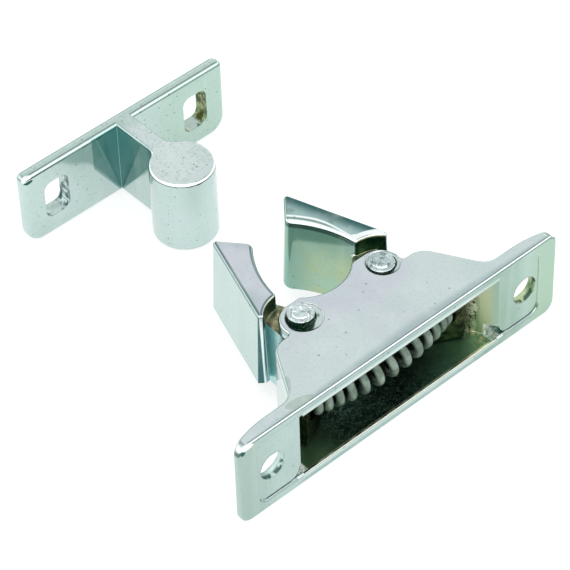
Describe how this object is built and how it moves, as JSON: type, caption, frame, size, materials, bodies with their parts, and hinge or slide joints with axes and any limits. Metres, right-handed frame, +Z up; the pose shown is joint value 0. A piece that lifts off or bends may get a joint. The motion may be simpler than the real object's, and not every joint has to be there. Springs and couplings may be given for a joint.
{
  "type": "oven door latch",
  "caption": "Sprung double-jaw catch on a screw flange, with the slotted strike plate whose round boss the jaws grip.",
  "frame": {"origin": "midway between the two screw holes of the flange, on the flange's rear mounting face", "axes": "+X along the flange, +Y from the rear mounting face towards the strike, +Z up through the upper deck, along the pivot pins"},
  "size_m": [0.095, 0.1025, 0.0265],
  "materials": {
    "housing": "plated, slightly dull",
    "jaws": "plated",
    "pins": "bright, peened",
    "spring": "matt",
    "strike": "plated"
  },
  "bodies": {
    "frame": {"housing": "housing", "strike": "strike"},
    "pins": {"left_pin": "pins", "right_pin": "pins", "spring": "spring"},
    "left_jaw": {"left_jaw": "jaws"},
    "right_jaw": {"right_jaw": "jaws"}
  },
  "joints": [
    {"name": "float", "type": "slide", "parent": "frame", "child": "pins", "axis": [1, 0, 0], "range_m": [0, 0.001]},
    {"name": "left_pivot", "type": "hinge", "parent": "pins", "child": "left_jaw", "pos_m": [-0.0118, 0.0199, 0], "axis": [0, 0, 1], "range_deg": [0, 14], "stiffness_Nm_per_rad": 1.2, "springref_deg": -28.65, "deforming": ["spring"]},
    {"name": "right_pivot", "type": "hinge", "parent": "pins", "child": "right_jaw", "pos_m": [0.0123, 0.0199, 0], "axis": [0, 0, -1], "range_deg": [0, 14], "stiffness_Nm_per_rad": 1.2, "springref_deg": -28.65, "deforming": ["spring"]}
  ]
}
